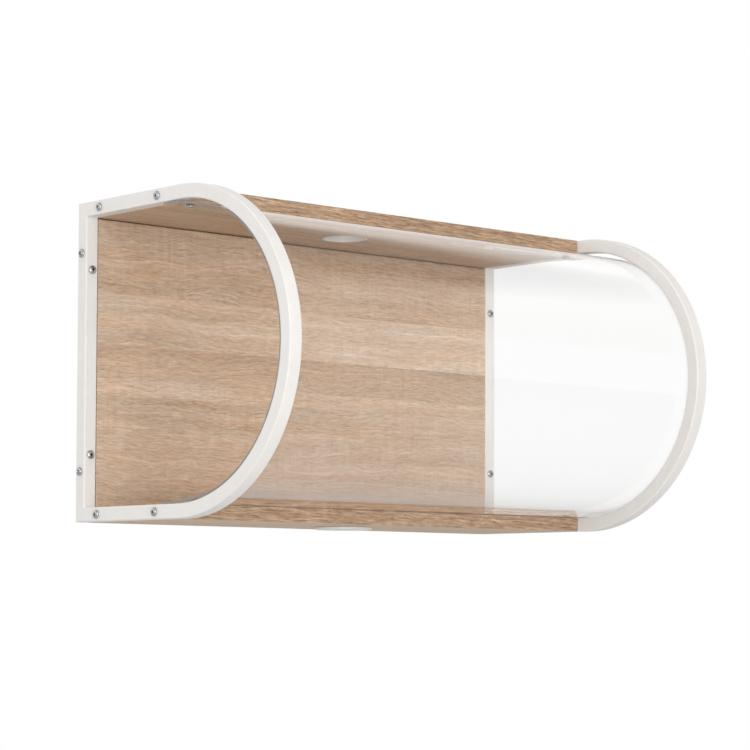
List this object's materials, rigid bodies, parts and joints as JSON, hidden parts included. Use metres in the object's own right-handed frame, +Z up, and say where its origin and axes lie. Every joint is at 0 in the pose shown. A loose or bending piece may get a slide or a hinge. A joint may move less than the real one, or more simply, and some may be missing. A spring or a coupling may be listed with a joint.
{
  "type": "wall-mounted cat walkway",
  "caption": "Wall-mounted cat tunnel shelf with D-shaped white steel end frames, oak-faced boards and a bent clear front sheet.",
  "frame": {"origin": "on the wall plane, at the middle of the walkway's length and height, on the back panel's rear face", "axes": "+X along the wall and the walkway's length, +Y into the wall, +Z up"},
  "size_m": [0.601, 0.35, 0.341],
  "materials": {
    "powder_coat": "satin",
    "oak_board": "matte",
    "oak_edge": "matte",
    "clear_acrylic": "gloss",
    "white_plastic": "satin",
    "zinc": "satin"
  },
  "bodies": {
    "root": {"left_bow": "powder_coat", "left_post": "powder_coat", "right_bow": "powder_coat", "right_post": "powder_coat", "back_panel": "oak_board", "top_board": "oak_board", "bottom_board": "oak_board", "top_edge_band": "oak_edge", "bottom_edge_band": "oak_edge", "clear_sheet": "clear_acrylic", "top_hole_sleeve": "white_plastic", "top_hole_lid": "white_plastic", "bottom_hole_sleeve": "white_plastic", "bottom_hole_lid": "white_plastic", "left_top_board_screw_rear": "zinc", "left_top_board_screw_front": "zinc", "left_panel_screw_top": "zinc", "left_wall_screw_top": "zinc", "top_sheet_screw_left": "zinc", "left_bottom_board_screw_rear": "zinc", "left_bottom_board_screw_front": "zinc", "left_panel_screw_bottom": "zinc", "left_wall_screw_bottom": "zinc", "bottom_sheet_screw_left": "zinc", "right_top_board_screw_rear": "zinc", "right_top_board_screw_front": "zinc", "right_panel_screw_top": "zinc", "right_wall_screw_top": "zinc", "top_sheet_screw_right": "zinc", "right_bottom_board_screw_rear": "zinc", "right_bottom_board_screw_front": "zinc", "right_panel_screw_bottom": "zinc", "right_wall_screw_bottom": "zinc", "bottom_sheet_screw_right": "zinc"}
  },
  "joints": []
}
